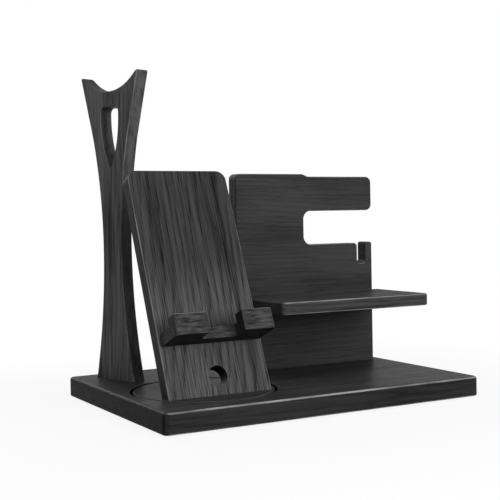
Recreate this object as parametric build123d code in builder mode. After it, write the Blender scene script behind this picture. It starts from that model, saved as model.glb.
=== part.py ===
"""Nightstand organizer: a stained-wood base that carries a turning stand with a grooved rest, an
hourglass post, a cut-out panel with an arm and a hook, a shelf, and a grooved ledge at the back.

Millimetres, +Z up, the user stands at -Y. The origin is under the middle of the base, on the
plane that the four foot pads stand on.
"""

from build123d import *
import os
from math import cos, radians, sin

# Base board
base_length = 302.0
base_depth = 214.0
base_thickness = 17.5
base_corner_radius = 5.0
base_top_round = 2.5
base_bottom_round = 1.5

# Foot pads, let into the base's underside
pad_radius = 7.0
pad_height = 1.5
pad_recess_depth = 1.0
pad_inset = 15.0

# Turntable disc and the round recess that it turns in
turntable_from_left = 72.3
turntable_from_front = 80.3
recess_radius = 62.0
recess_rim_round = 0.8
disc_gap = 2.6
disc_thickness = 7.0
disc_sink = 0.4
disc_edge_round = 1.0
glide_thickness = 1.0
glide_outer_radius = 56.0
glide_inner_radius = 46.0

# Pivot under the disc
bolt_radius = 3.0
bolt_head_radius = 6.0
bolt_head_height = 2.6
bolt_head_chamfer = 0.6
bolt_socket_radius = 3.0
bolt_socket_depth = 1.3
bolt_end_gap = 0.6
washer_radius = 7.0
washer_thickness = 0.8
bush_wall = 1.5
insert_wall = 1.6
insert_length = 5.4
pocket_radial_gap = 0.6
pocket_end_gap = 0.4

# Stand's board, leaning back on the disc
lean = 22.8
board_width = 94.0
board_length = 201.5
board_thickness = 14.0
board_foot_forward = 33.0
board_corner_radius = 9.0
board_edge_round = 1.8
cable_hole_radius = 8.6
cable_hole_rise = 16.0
cable_hole_edge_round = 1.0

# Stand's rest: a grooved block with a notch, screwed to the board's face
rest_width = 89.6
rest_rise = 44.2
rest_height = 17.8
rest_reach = 32.0
rest_corner_radius = 3.0
rest_notch_width = 32.3
rest_web = 14.0
rest_notch_radius = 4.0
rest_prong_radius = 3.0
rest_edge_round = 1.6
seat_depth = 20.0
seat_drop = 8.2

# Post: an hourglass board with a saddle and a teardrop hole, turned on its foot
post_from_left = 35.2
post_from_front = 174.3
post_turn = 17.0
post_thickness = 13.1
post_height = 274.0
post_foot_width = 53.0
post_waist_width = 25.7
post_waist_rise = 118.0
post_shoulder_width = 48.3
post_shoulder_rise = 216.0
post_shoulder_radius = 60.0
post_horn_span = 81.0
post_horn_width = 4.8
post_horn_slope = 2.4
post_saddle_drop = 16.3
post_horn_radius = 1.2
post_edge_round = 1.5
teardrop_width = 24.8
teardrop_top = 243.5
teardrop_shoulder = 236.0
teardrop_tip = 187.0
teardrop_corner_radius = 5.0
teardrop_tip_radius = 2.6
teardrop_edge_round = 0.9

# Main panel with its arm and its hook
panel_from_right = 11.0
panel_from_front = 141.9
panel_width = 152.0
panel_height = 183.4
panel_thickness = 13.8
panel_corner_radius = 5.0
panel_edge_round = 1.2
arm_length = 73.2
arm_step_run = 6.2
arm_step_drop = 2.4
arm_step_radius = 3.0
arm_height = 32.9
arm_end_radius = 6.0
watch_gap_height = 32.0
watch_gap_length = 78.7
watch_gap_radius = 8.0
hook_peg_width = 7.8
hook_gap_width = 9.6
hook_gap_depth = 20.0
hook_gap_radius = 4.0
hook_ledge_radius = 3.6
hook_peg_rise = 0.8
hook_peg_radius = 2.2

# Shelf on the panel's front
shelf_length = 158.8
shelf_depth = 80.0
shelf_thickness = 11.0
shelf_rise = 58.6
shelf_corner_radius = 5.0
shelf_edge_round = 1.5

# Grooved ledge on the panel's back
ledge_length = 112.0
ledge_depth = 28.0
ledge_height = 20.0
ledge_rise = 22.0
ledge_from_panel_left = 6.0
ledge_groove_width = 12.0
ledge_groove_depth = 8.0
ledge_edge_round = 1.5
dowel_radius = 3.0
dowel_length = 24.0
dowel_in_panel = 10.0
dowel_end_gap = 0.5
dowel_spacing = 72.0
dowel_rise = 6.0

# Wood screws
screw_radius = 2.0
screw_head_radius = 4.0
screw_head_sink = 0.3
screw_point = 3.0
screw_socket_radius = 1.6
screw_socket_depth = 1.4
screw_end_gap = 0.5
base_screw_length = 38.0
stand_screw_length = 20.0
stand_screw_spacing = 60.0
stand_screw_back = 4.8
rest_screw_length = 25.0
rest_screw_spacing = 64.0
rest_screw_rise = 4.8
shelf_screw_length = 32.0
shelf_screw_spacing = 54.0
post_screw_spacing = 28.0
panel_screw_spacing = 56.0

# Fits, and how near two places count as one
same_place = 0.01
running_clearance = 0.05
screw_clearance = 0.08
glue_clearance = 0.05

# Levels and places that follow from the sizes above
base_bottom = pad_height
base_top = base_bottom + base_thickness
left_edge = -base_length / 2
right_edge = base_length / 2
front_edge = -base_depth / 2

pivot_x = left_edge + turntable_from_left
pivot_y = front_edge + turntable_from_front
disc_top = base_top - disc_sink
disc_bottom = disc_top - disc_thickness
recess_floor = disc_bottom - glide_thickness
disc_radius = recess_radius - disc_gap
pocket_depth = bolt_head_height + washer_thickness + pocket_end_gap
pocket_ceiling = base_bottom + pocket_depth

lean_sin = sin(radians(lean))
lean_cos = cos(radians(lean))
board_face = Plane(
    origin=(pivot_x, pivot_y - board_foot_forward, disc_top),
    x_dir=(1, 0, 0),
    z_dir=(0, -lean_cos, lean_sin),
)
rest_floor = Plane(
    origin=board_face.from_local_coords((0, rest_rise, 0)),
    x_dir=(1, 0, 0),
    z_dir=board_face.y_dir,
)

turn_sin = sin(radians(post_turn))
turn_cos = cos(radians(post_turn))
post_middle = Plane(
    origin=(left_edge + post_from_left, front_edge + post_from_front, base_top),
    x_dir=(-turn_sin, turn_cos, 0),
    z_dir=(turn_cos, turn_sin, 0),
)

panel_right = right_edge - panel_from_right
panel_left = panel_right - panel_width
panel_front_y = front_edge + panel_from_front
panel_back_y = panel_front_y + panel_thickness
panel_middle_y = panel_front_y + panel_thickness / 2
panel_middle_x = panel_left + panel_width / 2
shelf_bottom = base_top + shelf_rise
ledge_bottom = base_top + ledge_rise
ledge_middle_x = panel_left + ledge_from_panel_left + ledge_length / 2


# Screw seats. Each plane lies on the face that the screw enters and points out of the wood
def seat_below(x, y, z):
    return Plane(origin=(x, y, z), x_dir=(1, 0, 0), z_dir=(0, 0, -1))


def post_seat(offset):
    foot = post_middle.from_local_coords((offset, 0, 0))
    return seat_below(foot.X, foot.Y, base_bottom)


def rest_seat(offset):
    entry = board_face.from_local_coords((offset, rest_rise + rest_screw_rise, -board_thickness))
    return Plane(origin=entry, x_dir=(1, 0, 0), z_dir=-board_face.z_dir)


def panel_back_seat(offset):
    entry = (panel_middle_x + offset, panel_back_y, shelf_bottom + shelf_thickness / 2)
    return Plane(origin=entry, x_dir=(1, 0, 0), z_dir=(0, 1, 0))


stand_screw_y = board_face.origin.Y + board_thickness / lean_cos - stand_screw_back
post_seats = [post_seat(side * post_screw_spacing / 2) for side in (-1, 1)]
panel_seats = [
    seat_below(panel_middle_x + step * panel_screw_spacing, panel_middle_y, base_bottom)
    for step in (-1, 0, 1)
]
stand_seats = [
    seat_below(pivot_x + side * stand_screw_spacing / 2, stand_screw_y, disc_bottom)
    for side in (-1, 1)
]
rest_seats = [rest_seat(side * rest_screw_spacing / 2) for side in (-1, 1)]
shelf_seats = [panel_back_seat(step * shelf_screw_spacing) for step in (-1, 0, 1)]


# A countersunk wood screw, its head's face at z = 0 and its point downwards
def wood_screw(length):
    cone_height = screw_head_radius - screw_radius
    top = -screw_head_sink
    with BuildPart() as screw:
        with BuildSketch(Plane.XZ):
            with BuildLine():
                Polyline(
                    (0, top),
                    (screw_head_radius, top),
                    (screw_radius, top - cone_height),
                    (screw_radius, screw_point - length),
                    (0, -length),
                    close=True,
                )
            make_face()
        revolve(axis=Axis.Z)
        with BuildSketch(Plane.XY.offset(top)):
            RegularPolygon(radius=screw_socket_radius, side_count=6)
        extrude(amount=-screw_socket_depth, mode=Mode.SUBTRACT)
    return screw.part


# The hole for such a screw, cut wherever the seat's line meets the piece being built
def bore_for_screw(seats, length, countersunk):
    hole_radius = screw_radius + screw_clearance
    cone_radius = screw_head_radius + screw_head_sink + screw_clearance
    with Locations(*seats):
        if countersunk:
            CounterSinkHole(hole_radius, cone_radius, length + screw_end_gap, counter_sink_angle=90)
        else:
            Hole(hole_radius, depth=length + screw_end_gap)


# The edges of a piece that lie above a level, so that its foot stays sharp
def edges_above(faces, level):
    return faces.edges().filter_by(lambda edge: edge.center().Z > level + same_place)


os.makedirs("parts", exist_ok=True)

# Base board: rounded slab with the turntable's recess, screw holes and pad recesses
pad_spacing_x = base_length - 2 * pad_inset
pad_spacing_y = base_depth - 2 * pad_inset

with BuildPart() as base_board:
    with BuildSketch(Plane.XY.offset(base_bottom)):
        RectangleRounded(base_length, base_depth, base_corner_radius)
    extrude(amount=base_thickness)
    fillet(base_board.faces().sort_by(Axis.Z)[-1].edges(), base_top_round)
    fillet(base_board.faces().sort_by(Axis.Z)[0].edges(), base_bottom_round)
    with BuildSketch(Plane.XY.offset(recess_floor)):
        with Locations((pivot_x, pivot_y)):
            Circle(recess_radius)
    extrude(amount=base_top - recess_floor, mode=Mode.SUBTRACT)
    rim = base_board.edges().filter_by(GeomType.CIRCLE).filter_by(
        lambda edge: abs(edge.radius - recess_radius) < same_place
    ).filter_by(
        lambda edge: edge.center().Z > recess_floor + same_place
    )
    fillet(rim, recess_rim_round)
    with BuildSketch(Plane.XY.offset(base_bottom)):
        with Locations((pivot_x, pivot_y)):
            Circle(washer_radius + pocket_radial_gap)
    extrude(amount=pocket_depth, mode=Mode.SUBTRACT)
    with BuildSketch(Plane.XY.offset(base_bottom)):
        with Locations((pivot_x, pivot_y)):
            Circle(bolt_radius + running_clearance + bush_wall + glue_clearance)
    extrude(amount=base_thickness, mode=Mode.SUBTRACT)
    with BuildSketch(Plane.XY.offset(base_bottom)):
        with GridLocations(pad_spacing_x, pad_spacing_y, 2, 2):
            Circle(pad_radius + glue_clearance)
    extrude(amount=pad_recess_depth, mode=Mode.SUBTRACT)
    bore_for_screw(post_seats + panel_seats, base_screw_length, countersunk=True)

base_board.part.label = "base_board"
export_step(base_board.part, "parts/base_board.step")

# Foot pads: four rubber buttons
with BuildPart() as foot_pads:
    with BuildSketch(Plane.XY):
        with GridLocations(pad_spacing_x, pad_spacing_y, 2, 2):
            Circle(pad_radius)
    extrude(amount=pad_height + pad_recess_depth)

foot_pads.part.label = "foot_pads"
export_step(foot_pads.part, "parts/foot_pads.step")

# Turntable disc: round board, flush in the recess, with a blind bore for the threaded insert
insert_radius = bolt_radius + insert_wall
with BuildPart() as turntable_disc:
    with BuildSketch(Plane.XY.offset(disc_bottom)):
        with Locations((pivot_x, pivot_y)):
            Circle(disc_radius)
    extrude(amount=disc_thickness)
    fillet(turntable_disc.faces().sort_by(Axis.Z)[-1].edges(), disc_edge_round)
    with BuildSketch(Plane.XY.offset(disc_bottom)):
        with Locations((pivot_x, pivot_y)):
            Circle(insert_radius + glue_clearance)
    extrude(amount=insert_length, mode=Mode.SUBTRACT)
    bore_for_screw(stand_seats, stand_screw_length, countersunk=True)

turntable_disc.part.label = "turntable_disc"
export_step(turntable_disc.part, "parts/turntable_disc.step")

# Glide ring: low-friction ring glued to the recess's floor, which the disc turns on
with BuildPart() as glide_ring:
    with BuildSketch(Plane.XY.offset(recess_floor)):
        with Locations((pivot_x, pivot_y)):
            Circle(glide_outer_radius)
            Circle(glide_inner_radius, mode=Mode.SUBTRACT)
    extrude(amount=glide_thickness)

glide_ring.part.label = "glide_ring"
export_step(glide_ring.part, "parts/glide_ring.step")

# Pivot bush: plain bearing in the base's web under the recess
with BuildPart() as pivot_bush:
    with BuildSketch(Plane.XY.offset(pocket_ceiling)):
        with Locations((pivot_x, pivot_y)):
            Circle(bolt_radius + running_clearance + bush_wall)
            Circle(bolt_radius + running_clearance, mode=Mode.SUBTRACT)
    extrude(amount=recess_floor - pocket_ceiling)

pivot_bush.part.label = "pivot_bush"
export_step(pivot_bush.part, "parts/pivot_bush.step")

# Pivot bolt: its head and washer lie in the pocket under the base, its end in the insert
bolt_top = disc_bottom + insert_length - bolt_end_gap
head_top = pocket_ceiling - washer_thickness
with BuildPart() as pivot_bolt:
    with BuildSketch(Plane.XY.offset(head_top - bolt_head_height)):
        with Locations((pivot_x, pivot_y)):
            Circle(bolt_head_radius)
    extrude(amount=bolt_head_height)
    chamfer(pivot_bolt.faces().sort_by(Axis.Z)[0].edges(), bolt_head_chamfer)
    with BuildSketch(Plane.XY.offset(head_top)):
        with Locations((pivot_x, pivot_y)):
            Circle(bolt_radius)
    extrude(amount=bolt_top - head_top)
    with BuildSketch(Plane.XY.offset(head_top - bolt_head_height)):
        with Locations((pivot_x, pivot_y)):
            RegularPolygon(radius=bolt_socket_radius, side_count=6)
    extrude(amount=bolt_socket_depth, mode=Mode.SUBTRACT)

pivot_bolt.part.label = "pivot_bolt"
export_step(pivot_bolt.part, "parts/pivot_bolt.step")

# Pivot washer: it carries the bolt's head under the base's web
with BuildPart() as pivot_washer:
    with BuildSketch(Plane.XY.offset(head_top)):
        with Locations((pivot_x, pivot_y)):
            Circle(washer_radius)
            Circle(bolt_radius + screw_clearance, mode=Mode.SUBTRACT)
    extrude(amount=washer_thickness)

pivot_washer.part.label = "pivot_washer"
export_step(pivot_washer.part, "parts/pivot_washer.step")

# Threaded insert in the disc, its thread left plain
with BuildPart() as pivot_insert:
    with BuildSketch(Plane.XY.offset(disc_bottom)):
        with Locations((pivot_x, pivot_y)):
            Circle(insert_radius)
            Circle(bolt_radius + glue_clearance, mode=Mode.SUBTRACT)
    extrude(amount=insert_length)

pivot_insert.part.label = "pivot_insert"
export_step(pivot_insert.part, "parts/pivot_insert.step")

# Stand's board: rounded top corners, a level foot on the disc, and a round hole near the foot
with BuildPart() as phone_board:
    with BuildSketch(board_face) as board_outline:
        with Locations((0, 0)):
            Rectangle(board_width, board_length, align=(Align.CENTER, Align.MIN))
        fillet(board_outline.vertices().group_by(Axis.Y)[-1], board_corner_radius)
    extrude(amount=-board_thickness)
    split(bisect_by=Plane.XY.offset(disc_top), keep=Keep.TOP)
    fillet(edges_above(phone_board.faces().filter_by(board_face), disc_top), board_edge_round)
    with BuildSketch(board_face):
        with Locations((0, cable_hole_rise)):
            Circle(cable_hole_radius)
    extrude(amount=-board_thickness, mode=Mode.SUBTRACT)
    fillet(
        phone_board.edges().filter_by(GeomType.CIRCLE).filter_by(
            lambda edge: abs(edge.radius - cable_hole_radius) < same_place
        ),
        cable_hole_edge_round,
    )
    bore_for_screw(stand_seats, stand_screw_length, countersunk=False)
    bore_for_screw(rest_seats, rest_screw_length, countersunk=True)

phone_board.part.label = "phone_board"
export_step(phone_board.part, "parts/phone_board.step")

# Stand's rest: U-shaped block, cut down behind its lips so that its back makes a groove with the board
with BuildPart() as phone_rest:
    with BuildSketch(rest_floor) as rest_outline:
        Rectangle(rest_width, rest_reach, align=(Align.CENTER, Align.MAX))
        fillet(rest_outline.vertices().group_by(Axis.Y)[0], rest_corner_radius)
        with Locations((0, -rest_reach)):
            Rectangle(
                rest_notch_width,
                rest_reach - rest_web,
                align=(Align.CENTER, Align.MIN),
                mode=Mode.SUBTRACT,
            )
        notch_corners = rest_outline.vertices().filter_by(
            lambda corner: abs(abs(corner.X) - rest_notch_width / 2) < same_place
        )
        notch_ends = notch_corners.group_by(Axis.Y)
        fillet(notch_ends[-1], rest_notch_radius)
        fillet(notch_ends[0], rest_prong_radius)
    extrude(amount=rest_height)
    with BuildSketch(rest_floor.offset(rest_height)):
        Rectangle(rest_width, seat_depth, align=(Align.CENTER, Align.MAX))
    extrude(amount=-seat_drop, mode=Mode.SUBTRACT)
    lip_tops = phone_rest.faces().filter_by(rest_floor).filter_by(
        lambda face: abs(rest_floor.to_local_coords(face.center()).Z - rest_height) < same_place
    )
    fillet(lip_tops.edges(), rest_edge_round)
    bore_for_screw(rest_seats, rest_screw_length, countersunk=False)

phone_rest.part.label = "phone_rest"
export_step(phone_rest.part, "parts/phone_rest.step")

# Post: hourglass board with two horns over a round saddle, and a teardrop hole
horn_inner_half = post_horn_span / 2 - post_horn_width
horn_inner_rise = post_height - post_horn_slope
with BuildPart() as headphone_post:
    with BuildSketch(post_middle) as post_outline:
        with BuildLine():
            TangentArc(
                (post_waist_width / 2, post_waist_rise),
                (post_foot_width / 2, 0),
                tangent=(0, -1),
            )
            TangentArc(
                (post_waist_width / 2, post_waist_rise),
                (post_shoulder_width / 2, post_shoulder_rise),
                tangent=(0, 1),
            )
            Line((post_shoulder_width / 2, post_shoulder_rise), (post_horn_span / 2, post_height))
            Line((post_horn_span / 2, post_height), (horn_inner_half, horn_inner_rise))
            mirror(about=Plane.YZ)
            ThreePointArc(
                (horn_inner_half, horn_inner_rise),
                (0, post_height - post_saddle_drop),
                (-horn_inner_half, horn_inner_rise),
            )
            Line((-post_foot_width / 2, 0), (post_foot_width / 2, 0))
        make_face()
        fillet(
            post_outline.vertices().filter_by(lambda corner: corner.Y > horn_inner_rise - same_place),
            post_horn_radius,
        )
        fillet(
            post_outline.vertices().filter_by(
                lambda corner: abs(corner.Y - post_shoulder_rise) < same_place
            ),
            post_shoulder_radius,
        )
    extrude(amount=post_thickness / 2, both=True)
    fillet(edges_above(headphone_post.faces().filter_by(post_middle), base_top), post_edge_round)
    with BuildSketch(post_middle) as teardrop:
        with BuildLine():
            TangentArc((teardrop_width / 2, teardrop_shoulder), (0, teardrop_tip), tangent=(0, -1))
            Line((teardrop_width / 2, teardrop_shoulder), (teardrop_width / 2, teardrop_top))
            mirror(about=Plane.YZ)
            Line((-teardrop_width / 2, teardrop_top), (teardrop_width / 2, teardrop_top))
        make_face()
        fillet(teardrop.vertices().group_by(Axis.Y)[-1], teardrop_corner_radius)
        fillet(teardrop.vertices().group_by(Axis.Y)[0], teardrop_tip_radius)
    extrude(amount=post_thickness / 2, both=True, mode=Mode.SUBTRACT)
    post_sides = headphone_post.faces().filter_by(post_middle)
    hole_rims = [wire for side in post_sides for wire in side.inner_wires()]
    fillet([edge for rim in hole_rims for edge in rim.edges()], teardrop_edge_round)
    bore_for_screw(post_seats, base_screw_length, countersunk=False)

headphone_post.part.label = "headphone_post"
export_step(headphone_post.part, "parts/headphone_post.step")

# Main panel: one board whose outline makes the arm, the gap under it and the hook
arm_top = panel_height - arm_step_drop
arm_bottom = arm_top - arm_height
gap_bottom = arm_bottom - watch_gap_height
hook_floor = gap_bottom - hook_gap_depth
peg_top = gap_bottom + hook_peg_rise
arm_start = panel_width - arm_length
watch_gap_start = panel_width - watch_gap_length
hook_gap_end = panel_width - hook_peg_width
hook_gap_start = hook_gap_end - hook_gap_width
panel_corners = [
    ((0, 0), 0),
    ((panel_width, 0), 0),
    ((panel_width, peg_top), hook_peg_radius),
    ((hook_gap_end, peg_top), hook_peg_radius),
    ((hook_gap_end, hook_floor), hook_gap_radius),
    ((hook_gap_start, hook_floor), hook_gap_radius),
    ((hook_gap_start, gap_bottom), hook_ledge_radius),
    ((watch_gap_start, gap_bottom), watch_gap_radius),
    ((watch_gap_start, arm_bottom), watch_gap_radius),
    ((panel_width, arm_bottom), arm_end_radius),
    ((panel_width, arm_top), arm_end_radius),
    ((arm_start, arm_top), arm_step_radius),
    ((arm_start - arm_step_run, panel_height), arm_step_radius),
    ((0, panel_height), panel_corner_radius),
]
panel_face = Plane(origin=(panel_left, panel_front_y, base_top), x_dir=(1, 0, 0), z_dir=(0, -1, 0))
with BuildPart() as main_panel:
    with BuildSketch(panel_face):
        with BuildLine():
            FilletPolyline(
                *[point for point, corner in panel_corners],
                radius=[corner for point, corner in panel_corners],
                close=True,
            )
        make_face()
    extrude(amount=-panel_thickness)
    fillet(edges_above(main_panel.faces().filter_by(Axis.Y), base_top), panel_edge_round)
    bore_for_screw(panel_seats, base_screw_length, countersunk=False)
    bore_for_screw(shelf_seats, shelf_screw_length, countersunk=True)
    with BuildSketch(Plane.XZ.offset(-panel_back_y)):
        with Locations((ledge_middle_x, ledge_bottom + dowel_rise)):
            with GridLocations(dowel_spacing, 1, 2, 1):
                Circle(dowel_radius + glue_clearance)
    extrude(amount=dowel_in_panel + dowel_end_gap, mode=Mode.SUBTRACT)

main_panel.part.label = "main_panel"
export_step(main_panel.part, "parts/main_panel.step")

# Shelf: board with rounded front corners, butted against the panel's front
with BuildPart() as shelf:
    with BuildSketch(Plane.XY.offset(shelf_bottom)) as shelf_outline:
        with Locations((panel_left, panel_front_y)):
            Rectangle(shelf_length, shelf_depth, align=(Align.MIN, Align.MAX))
        fillet(shelf_outline.vertices().group_by(Axis.Y)[0], shelf_corner_radius)
    extrude(amount=shelf_thickness)
    fillet(
        shelf.faces().filter_by(Axis.Z).edges().filter_by(
            lambda edge: edge.center().Y < panel_front_y - same_place
        ),
        shelf_edge_round,
    )
    bore_for_screw(shelf_seats, shelf_screw_length, countersunk=False)

shelf.part.label = "shelf"
export_step(shelf.part, "parts/shelf.step")

# Ledge: grooved rail behind the panel
groove_floor = ledge_height - ledge_groove_depth
with BuildPart() as tablet_ledge:
    with BuildSketch(Plane.YZ.offset(ledge_middle_x)) as ledge_section:
        with Locations((panel_back_y, ledge_bottom)):
            Rectangle(ledge_depth, ledge_height, align=(Align.MIN, Align.MIN))
        with Locations((panel_back_y, ledge_bottom + groove_floor)):
            Rectangle(
                ledge_groove_width,
                ledge_groove_depth,
                align=(Align.MIN, Align.MIN),
                mode=Mode.SUBTRACT,
            )
        lip_corners = ledge_section.vertices().filter_by(
            lambda corner: corner.X > panel_back_y + ledge_groove_width - same_place
        ).filter_by(
            lambda corner: abs(corner.Y - ledge_bottom - groove_floor) > same_place
        )
        fillet(lip_corners, ledge_edge_round)
    extrude(amount=ledge_length / 2, both=True)
    with BuildSketch(Plane.XZ.offset(-panel_back_y)):
        with Locations((ledge_middle_x, ledge_bottom + dowel_rise)):
            with GridLocations(dowel_spacing, 1, 2, 1):
                Circle(dowel_radius + glue_clearance)
    extrude(amount=-(dowel_length - dowel_in_panel + dowel_end_gap), mode=Mode.SUBTRACT)

tablet_ledge.part.label = "tablet_ledge"
export_step(tablet_ledge.part, "parts/tablet_ledge.step")

# Dowels that hold the ledge to the panel
with BuildPart() as ledge_dowels:
    with BuildSketch(Plane.XZ.offset(dowel_in_panel - panel_back_y)):
        with Locations((ledge_middle_x, ledge_bottom + dowel_rise)):
            with GridLocations(dowel_spacing, 1, 2, 1):
                Circle(dowel_radius)
    extrude(amount=-dowel_length)

ledge_dowels.part.label = "ledge_dowels"
export_step(ledge_dowels.part, "parts/ledge_dowels.step")

# Screws, one group for each joint between two boards
base_screw = wood_screw(base_screw_length)
stand_screw = wood_screw(stand_screw_length)
rest_screw = wood_screw(rest_screw_length)
shelf_screw = wood_screw(shelf_screw_length)

with BuildPart() as post_screws:
    with Locations(*post_seats):
        add(base_screw)

post_screws.part.label = "post_screws"
export_step(post_screws.part, "parts/post_screws.step")

with BuildPart() as panel_screws:
    with Locations(*panel_seats):
        add(base_screw)

panel_screws.part.label = "panel_screws"
export_step(panel_screws.part, "parts/panel_screws.step")

with BuildPart() as stand_screws:
    with Locations(*stand_seats):
        add(stand_screw)

stand_screws.part.label = "stand_screws"
export_step(stand_screws.part, "parts/stand_screws.step")

with BuildPart() as rest_screws:
    with Locations(*rest_seats):
        add(rest_screw)

rest_screws.part.label = "rest_screws"
export_step(rest_screws.part, "parts/rest_screws.step")

with BuildPart() as shelf_screws:
    with Locations(*shelf_seats):
        add(shelf_screw)

shelf_screws.part.label = "shelf_screws"
export_step(shelf_screws.part, "parts/shelf_screws.step")
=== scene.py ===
"""Looks of the nightstand organizer: black-stained ash boards, steel screws, rubber pads, and the
photograph's camera and studio light. Metres, +Z up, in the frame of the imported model.
"""

from dataclasses import dataclass
from math import cos, radians, sin

import bpy
from mathutils import Matrix, Vector


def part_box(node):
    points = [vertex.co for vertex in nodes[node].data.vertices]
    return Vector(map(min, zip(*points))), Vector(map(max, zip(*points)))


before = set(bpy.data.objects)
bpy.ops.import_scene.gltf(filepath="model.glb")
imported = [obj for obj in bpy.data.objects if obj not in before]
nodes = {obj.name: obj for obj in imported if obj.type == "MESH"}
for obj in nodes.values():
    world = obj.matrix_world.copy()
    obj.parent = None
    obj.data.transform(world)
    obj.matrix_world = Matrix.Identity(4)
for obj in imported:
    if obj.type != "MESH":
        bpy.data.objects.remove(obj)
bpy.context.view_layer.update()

base_low, base_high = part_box("base_board")


# Node helpers
class Tree:
    """The node tree of a material or world, with one short method for each node that repeats."""

    def __init__(self, owner):
        self.owner = owner
        owner.use_nodes = True
        self.tree = owner.node_tree
        self.tree.nodes.clear()

    def put(self, socket, value):
        if isinstance(value, bpy.types.NodeSocket):
            self.tree.links.new(value, socket)
        else:
            socket.default_value = value

    def node(self, kind, **inputs):
        made = self.tree.nodes.new(kind)
        for key, value in inputs.items():
            self.put(made.inputs[key.replace("_", " ")], value)
        return made

    def math(self, operation, a, b=0.0, clamp=False):
        made = self.tree.nodes.new("ShaderNodeMath")
        made.operation = operation
        made.use_clamp = clamp
        self.put(made.inputs[0], a)
        self.put(made.inputs[1], b)
        return made.outputs[0]

    def plus(self, a, b):
        return self.math("ADD", a, b)

    def times(self, a, b):
        return self.math("MULTIPLY", a, b)

    def vector(self, operation, a, b=(0, 0, 0)):
        made = self.tree.nodes.new("ShaderNodeVectorMath")
        made.operation = operation
        self.put(made.inputs[0], a)
        self.put(made.inputs[1], b)
        return made.outputs["Value" if operation in ("DOT_PRODUCT", "LENGTH") else "Vector"]

    def combine(self, x, y, z):
        made = self.tree.nodes.new("ShaderNodeCombineXYZ")
        for socket, value in zip(made.inputs, (x, y, z)):
            self.put(socket, value)
        return made.outputs[0]

    def noise(self, vector, scale, detail, roughness=0.5):
        made = self.node("ShaderNodeTexNoise", Vector=vector, Scale=scale)
        made.inputs["Detail"].default_value = detail
        made.inputs["Roughness"].default_value = roughness
        return made.outputs["Fac"]

    def ramp(self, value, span, start=0.0, end=1.0):
        """Goes smoothly from start to end while the value goes through the span."""
        made = self.tree.nodes.new("ShaderNodeMapRange")
        made.interpolation_type = "SMOOTHSTEP"
        self.put(made.inputs["Value"], value)
        made.inputs["From Min"].default_value, made.inputs["From Max"].default_value = span
        made.inputs["To Min"].default_value = start
        made.inputs["To Max"].default_value = end
        return made.outputs["Result"]

    def mix(self, share, a, b):
        made = self.tree.nodes.new("ShaderNodeMix")
        made.data_type = "RGBA"
        self.put(made.inputs["Factor"], share)
        self.put(made.inputs["A"], a)
        self.put(made.inputs["B"], b)
        return made.outputs["Result"]

    def mix_shaders(self, share, a, b):
        made = self.tree.nodes.new("ShaderNodeMixShader")
        for socket, value in zip(made.inputs, (share, a, b)):
            self.put(socket, value)
        return made.outputs[0]

    def finish(self, shader, output_kind="ShaderNodeOutputMaterial"):
        output = self.tree.nodes.new(output_kind)
        self.tree.links.new(shader, output.inputs["Surface"])
        return self.owner


def grey(level, warmth=0.0):
    return (level * (1 + warmth), level, level * (1 - warmth), 1.0)


def darker(colour, share):
    return tuple(share * channel for channel in colour[:3]) + (1.0,)


white = grey(1.0)
black = grey(0.0)

# Most of the range of a noise texture
wide_noise = (0.3, 0.7)

# Directions that the boards' grain and broad faces take
stand_lean = radians(22.8)
post_turn = radians(17.0)
along_x = Vector((1, 0, 0))
along_y = Vector((0, 1, 0))
along_z = Vector((0, 0, 1))
stand_up = Vector((0, sin(stand_lean), cos(stand_lean)))
stand_out = Vector((0, -cos(stand_lean), sin(stand_lean)))
post_out = Vector((cos(post_turn), sin(post_turn), 0))

# Black-stained ash. The rings lie round a pith beside the board, so that faces show arches, edges
# show lines and ends show arcs; the pores follow the grain and are densest at each ring's start
ring_spacing = 0.0042
ring_wander = 0.020
wander_length = 0.2
wander_width = 0.045
early_wood_begins = (0.0, 0.08)
early_wood_ends = (0.08, 0.7)

pore_length = 0.016
pore_width = 0.0006
pore_noise = (0.48, 0.66)
pores_in_late_wood = 0.3
pore_relief = 0.0003
pore_roughness = 0.15
fibre_height = 0.3
early_wood_depth = 0.4

patch_length = 0.12
patch_width = 0.035
pale_noise = (0.58, 0.70)
pale_patch_noise = (0.40, 0.60)
pale_left_in_patch = 0.2

# How much the parts of the figure darken a board, and what two of them come to on average
pore_share = 0.4
streak_share = 2.6
band_share = 1.2
mean_pores = 0.25
mean_early_wood = 0.3
board_warmth = 0.01

# Cosines of the angle between a surface and the board's broad face
face_begins = (0.25, 0.6)
arris_begins = (0.2, 0.55)
arris_ends = (0.75, 0.95)

# Cosines of the angle between a surface and the board's end
end_begins = (0.5, 0.9)
arris_leaves_grain = (0.2, 0.5)

# Wear and painted highlight on the arrises, and the height over which the upper part of a board, darkened
# as painted shade, begins
wear_and_highlight_length = 0.033
wear_and_highlight_width = 0.008
wear_and_highlight_in_gaps = 0.3
wear_and_highlight_across_grain = 0.1
worn_and_highlit_level = 0.28
upper_part_begins = (0.06, 0.12)


@dataclass
class Board:
    """How one board was sawn, stained and worn, with painted shade and highlights on it. Lengths are in
    metres.
    """

    # Directions of the grain and out of the broad face
    grain: Vector
    out: Vector

    # Brightness of the stain, how far streaks leave it, and how much the other parts show
    level: float
    contrast: float = 0.6
    streak_length: float = 0.10
    streak_width: float = 0.0018
    rings: float = 0.3
    pale: float = 0.3
    blotches: float = 0.6

    # Brightness of the edges, ends and upper part as shares of the face's (darker stain on end grain, and
    # painted shade), and how much wear and painted highlight shows
    edges: float = 1.0
    ends: float = 0.5
    upper: float = 1.0
    worn_and_highlit: float = 0.6

    # Gloss
    roughness: float = 0.5
    specular: float = 0.05

    # How far the pith lies behind the frame's origin and beside it, and how fast the rings widen
    # along the grain
    pith: float = 0.05
    pith_side: float = 0.0
    taper: float = 0.05

    # Shift of the whole figure along the grain, so that no two boards are alike
    seed: float = 0.0


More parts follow.
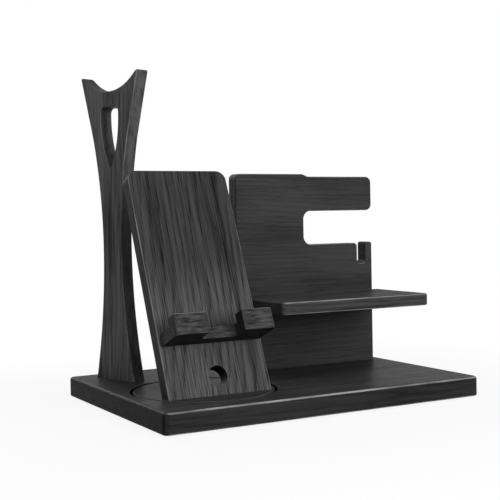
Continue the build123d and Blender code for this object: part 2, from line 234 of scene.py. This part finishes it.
class Wood(Tree):
    """A board's node tree, with places and surfaces measured in the board's own directions."""

    def __init__(self, name, board):
        super().__init__(bpy.data.materials.new(name))
        self.board = board
        coordinates = self.node("ShaderNodeTexCoord")
        place = coordinates.outputs["Object"]
        normal = coordinates.outputs["Normal"]
        self.rise = self.vector("DOT_PRODUCT", place, board.grain)
        self.along = self.plus(self.rise, board.seed)
        self.side = self.vector("DOT_PRODUCT", place, board.out.cross(board.grain))
        self.depth = self.vector("DOT_PRODUCT", place, board.out)
        self.facing = self.math("ABSOLUTE", self.vector("DOT_PRODUCT", normal, board.out))
        self.ending = self.math("ABSOLUTE", self.vector("DOT_PRODUCT", normal, board.grain))

    def grain_noise(self, length, width, detail=2.0, roughness=0.5):
        """Noise in spots of the length given along the grain and the width given across it."""
        point = self.combine(
            self.math("DIVIDE", self.along, length),
            self.math("DIVIDE", self.side, width),
            self.math("DIVIDE", self.depth, width),
        )
        return self.noise(point, 1.0, detail, roughness)


def early_wood(wood):
    """The porous start of each growth ring. The rings are a little uneven."""
    board = wood.board
    across = wood.math("SUBTRACT", wood.side, board.pith_side)
    radius = wood.vector("LENGTH", wood.combine(0.0, across, wood.plus(wood.depth, board.pith)))
    radius = wood.plus(radius, wood.times(wood.along, board.taper))
    wander = wood.math("SUBTRACT", wood.grain_noise(wander_length, wander_width, detail=3.0), 0.5)
    radius = wood.plus(radius, wood.times(wander, ring_wander))
    ring = wood.math("FRACT", wood.math("DIVIDE", radius, ring_spacing))
    return wood.times(wood.ramp(ring, early_wood_begins), wood.ramp(ring, early_wood_ends, 1.0, 0.0))


def stain(wood, early, pores):
    """The colour on a broad face: pores, dark streaks, bands twice as long and five times as wide,
    slow patches, and thin pale fibres here and there."""
    board = wood.board
    streak = wood.grain_noise(board.streak_length, board.streak_width, detail=3.0, roughness=0.7)
    band = wood.grain_noise(2 * board.streak_length, 5 * board.streak_width)
    patch = wood.grain_noise(patch_length, patch_width)
    pale = wood.grain_noise(0.5 * board.streak_length, 0.5 * board.streak_width, detail=1.0)
    pale = wood.ramp(pale, pale_noise)
    pale = wood.times(pale, wood.ramp(patch, pale_patch_noise, 1.0, pale_left_in_patch))

    tone = wood.times(early, board.rings)
    for share, part in (
        (pore_share, pores),
        (streak_share, streak),
        (band_share, band),
        (board.blotches, patch),
        (-board.pale, pale),
    ):
        tone = wood.plus(tone, wood.times(part, share))
    mean = 0.5 * (streak_share + band_share + board.blotches)
    mean += mean_early_wood * board.rings + mean_pores * pore_share
    tone = wood.math("SUBTRACT", tone, mean - 0.5, clamp=True)
    light = board.level * (1 + board.contrast)
    dark = board.level * (1 - board.contrast)
    return wood.mix(tone, grey(light, board_warmth), grey(dark))


def stain_and_shade_shown(wood):
    """The share of that colour that shows: edges and ends are darker, partly as end grain that takes more
    stain and partly as painted shade, and upper parts are darker as painted shade.
    """
    board = wood.board
    # Edges and ends: partly end grain that takes more stain, partly painted shade
    from_edge = wood.ramp(wood.facing, face_begins, board.edges, 1.0)
    to_end = wood.ramp(wood.ending, end_begins, 1.0, board.ends)
    # Painted shade: the upper part of the board is darker
    upper_shade = wood.ramp(wood.rise, upper_part_begins, 1.0, board.upper)
    return wood.times(wood.math("MINIMUM", from_edge, to_end), upper_shade)


def wear_and_highlight(wood):
    """Arrises along the grain are lighter, in a broken line: partly rubbed wear, partly a painted
    highlight.
    """
    worn_and_highlit = wood.board.worn_and_highlit
    arris = wood.times(wood.ramp(wood.facing, arris_begins), wood.ramp(wood.facing, arris_ends, 1.0, 0.0))
    arris = wood.times(arris, wood.ramp(wood.ending, arris_leaves_grain, 1.0, wear_and_highlight_across_grain))
    broken = wood.grain_noise(wear_and_highlight_length, wear_and_highlight_width)
    return wood.times(arris, wood.ramp(broken, wide_noise, wear_and_highlight_in_gaps * worn_and_highlit, worn_and_highlit))


def stained_ash(name, board):
    wood = Wood(name, board)
    early = early_wood(wood)
    fibre = wood.grain_noise(pore_length, pore_width, detail=3.0, roughness=0.6)
    density = wood.plus(wood.times(early, 1 - pores_in_late_wood), pores_in_late_wood)
    pores = wood.times(wood.ramp(fibre, pore_noise), density)

    # Darker end grain and painted shade: edges, ends and upper parts are mixed towards black
    colour = wood.mix(stain_and_shade_shown(wood), black, stain(wood, early, pores))
    # Rubbed wear and painted highlight: the arrises are mixed towards a pale grey
    colour = wood.mix(wear_and_highlight(wood), colour, grey(worn_and_highlit_level, board_warmth))
    rough = wood.plus(wood.times(pores, pore_roughness), board.roughness)
    hollow = wood.plus(pores, wood.times(early, early_wood_depth))
    height = wood.math("SUBTRACT", wood.times(fibre, fibre_height), hollow)
    bump = wood.node("ShaderNodeBump", Strength=0.5, Distance=pore_relief, Height=height)

    shader = wood.node("ShaderNodeBsdfPrincipled", Base_Color=colour, Roughness=rough)
    shader.inputs["Specular IOR Level"].default_value = board.specular
    wood.put(shader.inputs["Normal"], bump.outputs[0])
    return wood.finish(shader.outputs[0])


# Metal, rubber, plastic and plain wood: fine specks in the colour and the relief, and a sheen that
# varies in blotches
specks_per_metre = 900.0
blotches_per_metre = 160.0
speck_shade = 0.8
speck_relief = 0.0001
glossier = 0.8
duller = 1.2


def plain(name, colour, roughness, metallic=0.0):
    t = Tree(bpy.data.materials.new(name))
    place = t.node("ShaderNodeTexCoord").outputs["Object"]
    speck = t.noise(place, specks_per_metre, detail=3.0)
    blotch = t.noise(place, blotches_per_metre, detail=2.0)
    tone = t.mix(t.ramp(speck, wide_noise), colour, darker(colour, speck_shade))
    rough = t.ramp(blotch, wide_noise, glossier * roughness, duller * roughness)
    bump = t.node("ShaderNodeBump", Strength=0.3, Distance=speck_relief, Height=speck)
    shader = t.node("ShaderNodeBsdfPrincipled", Base_Color=tone, Roughness=rough)
    shader.inputs["Metallic"].default_value = metallic
    t.put(shader.inputs["Normal"], bump.outputs[0])
    return t.finish(shader.outputs[0])


# Each node's material
# The darker edges, ends and upper parts below are partly painted shade, and the lighter arrises are
# partly a painted highlight
boards = {
    "base_board": Board(
        along_x, along_z, level=0.026, contrast=0.4, rings=0.2, edges=0.65, ends=0.32, worn_and_highlit=0.9,
        roughness=0.38, specular=0.015, pith=0.04, pith_side=-0.02, taper=0.03, seed=0.31,
    ),
    "turntable_disc": Board(
        along_x, along_z, level=0.026, contrast=0.4, rings=0.2, worn_and_highlit=0.4,
        roughness=0.38, specular=0.015, pith_side=0.01, seed=1.7,
    ),
    "phone_board": Board(
        stand_up, stand_out, level=0.041, contrast=0.95, rings=0.2, streak_width=0.0010, blotches=0.3,
        edges=0.2, upper=0.55, worn_and_highlit=0.6, pith=0.03, taper=0.08, seed=2.3,
    ),
    "phone_rest": Board(
        along_x, stand_out, level=0.032, contrast=0.85, rings=0.1, streak_length=0.010,
        edges=0.35, ends=0.35, worn_and_highlit=0.6, taper=0.02, seed=3.1,
    ),
    "headphone_post": Board(
        along_z, post_out, level=0.044, contrast=0.75, rings=0.15, streak_width=0.004, blotches=1.8,
        edges=0.95, worn_and_highlit=0.35, pith_side=0.01, seed=4.9,
    ),
    "main_panel": Board(
        along_x, -along_y, level=0.025, contrast=0.30, rings=0.05, streak_width=0.0016, pale=1.8,
        blotches=2.0, edges=0.6, ends=0.27, worn_and_highlit=0.75, pith=0.06, pith_side=0.09, taper=0.03, seed=5.3,
    ),
    "shelf": Board(
        along_x, along_z, level=0.033, contrast=0.5, rings=0.2, worn_and_highlit=0.9,
        roughness=0.4, specular=0.005, pith_side=0.03, taper=0.03, seed=6.7,
    ),
    "tablet_ledge": Board(
        along_x, along_z, level=0.026, contrast=0.5, pith_side=0.03, taper=0.03, seed=7.9,
    ),
}

beech_colour = (0.50, 0.34, 0.18, 1.0)
nylon_colour = (0.7, 0.68, 0.62, 1.0)
brass_colour = (0.6, 0.42, 0.14, 1.0)
rubber_colour = grey(0.03)
steel_colour = grey(0.4)


def dress(node, material):
    slots = nodes[node].data.materials
    slots.clear()
    slots.append(material)


for name, board in boards.items():
    dress(name, stained_ash("ash_" + name, board))
dress("ledge_dowels", plain("beech", beech_colour, roughness=0.6))
dress("foot_pads", plain("rubber", rubber_colour, roughness=0.75))
dress("pivot_insert", plain("brass", brass_colour, roughness=0.35, metallic=1.0))
for name in ("glide_ring", "pivot_bush"):
    dress(name, plain("nylon_" + name, nylon_colour, roughness=0.4))
for name in nodes:
    if name.endswith("_screws") or name in ("pivot_bolt", "pivot_washer"):
        dress(name, plain("steel_" + name, steel_colour, roughness=0.35, metallic=1.0))

# Floor and backdrop: white to the camera and in reflections, pale grey to everything else. Near the
# object the floor shows some of its own shade, so that it keeps the shadow
floor_reach = 6.0
floor_level = 0.6
world_level = 0.22
shadow_share = 0.11
shadow_fades = (0.03, 0.30)


def seen_directly(t):
    path = t.node("ShaderNodeLightPath")
    seen = t.math("MAXIMUM", path.outputs["Is Camera Ray"], path.outputs["Is Glossy Ray"])
    return t.math("MAXIMUM", seen, path.outputs["Is Transmission Ray"])


def floor_white():
    t = Tree(bpy.data.materials.new("floor_white"))
    place = t.node("ShaderNodeTexCoord").outputs["Object"]
    beside = t.vector("SUBTRACT", t.vector("ABSOLUTE", place), base_high)
    beside = t.vector("MAXIMUM", beside, (0, 0, 0))
    away = t.vector("LENGTH", t.vector("MULTIPLY", beside, (1, 1, 0)))
    share = t.ramp(away, shadow_fades, 1 - shadow_share, 1.0)
    shaded = t.node("ShaderNodeBsdfDiffuse", Color=grey(floor_level))
    lit = t.node("ShaderNodeEmission", Color=white, Strength=1.0)
    mixed = t.mix_shaders(t.times(seen_directly(t), share), shaded.outputs[0], lit.outputs[0])
    return t.finish(mixed)


def floor():
    corners = [(x * floor_reach, y * floor_reach, 0) for x, y in ((-1, -1), (1, -1), (1, 1), (-1, 1))]
    mesh = bpy.data.meshes.new("floor")
    mesh.from_pydata(corners, [], [(0, 1, 2, 3)])
    mesh.materials.append(floor_white())
    made = bpy.data.objects.new("floor", mesh)
    bpy.context.scene.collection.objects.link(made)


def studio_world():
    t = Tree(bpy.data.worlds.new("studio"))
    dim = t.node("ShaderNodeBackground", Color=white, Strength=world_level)
    bright = t.node("ShaderNodeBackground", Color=white, Strength=1.0)
    mixed = t.mix_shaders(seen_directly(t), dim.outputs[0], bright.outputs[0])
    bpy.context.scene.world = t.finish(mixed, "ShaderNodeOutputWorld")


# Lamps: soft boxes that stand round the object and point at it
object_middle = (0, 0, 0.1)
post_and_panel = (-0.12, 0.07, 0.2)


def lamp(name, place, target, width, height, watts):
    data = bpy.data.lights.new(name, "AREA")
    data.shape = "RECTANGLE"
    data.size = width
    data.size_y = height
    data.energy = watts
    made = bpy.data.objects.new(name, data)
    made.location = place
    made.rotation_euler = (Vector(target) - Vector(place)).to_track_quat("-Z", "Y").to_euler()
    bpy.context.scene.collection.objects.link(made)


# Camera, measured from the top front left corner of the base
picture_width = 500
focal_pixels = 1022.15
sensor_width = 36.0
camera_from_corner = Vector((-0.30478, -0.68645, 0.142585))
camera_yaw = radians(28.928)
camera_pitch = radians(1.799)
camera_roll = radians(1.104)


def camera():
    eye = Vector((base_low.x, base_low.y, base_high.z)) + camera_from_corner
    forward = Vector((
        sin(camera_yaw) * cos(camera_pitch),
        cos(camera_yaw) * cos(camera_pitch),
        -sin(camera_pitch),
    ))
    level_right = Vector((cos(camera_yaw), -sin(camera_yaw), 0))
    level_down = forward.cross(level_right)
    right = cos(camera_roll) * level_right + sin(camera_roll) * level_down
    down = -sin(camera_roll) * level_right + cos(camera_roll) * level_down
    data = bpy.data.cameras.new("camera")
    data.sensor_width = sensor_width
    data.lens = focal_pixels * sensor_width / picture_width
    made = bpy.data.objects.new("camera", data)
    made.matrix_world = Matrix((
        (right.x, -down.x, -forward.x, eye.x),
        (right.y, -down.y, -forward.y, eye.y),
        (right.z, -down.z, -forward.z, eye.z),
        (0, 0, 0, 1),
    ))
    bpy.context.scene.collection.objects.link(made)
    bpy.context.scene.camera = made


floor()
studio_world()
lamp("overhead", (0.3, -0.8, 2.4), object_middle, width=2.0, height=1.6, watts=22)
lamp("key", (0.6, -1.7, 0.6), object_middle, width=1.0, height=0.8, watts=30)
lamp("side", (-1.1, -0.6, 0.6), post_and_panel, width=0.6, height=0.6, watts=4.8)
lamp("back", (-0.4, 1.6, 0.9), object_middle, width=1.2, height=0.8, watts=15)
camera()

bpy.context.scene.view_settings.view_transform = "Standard"
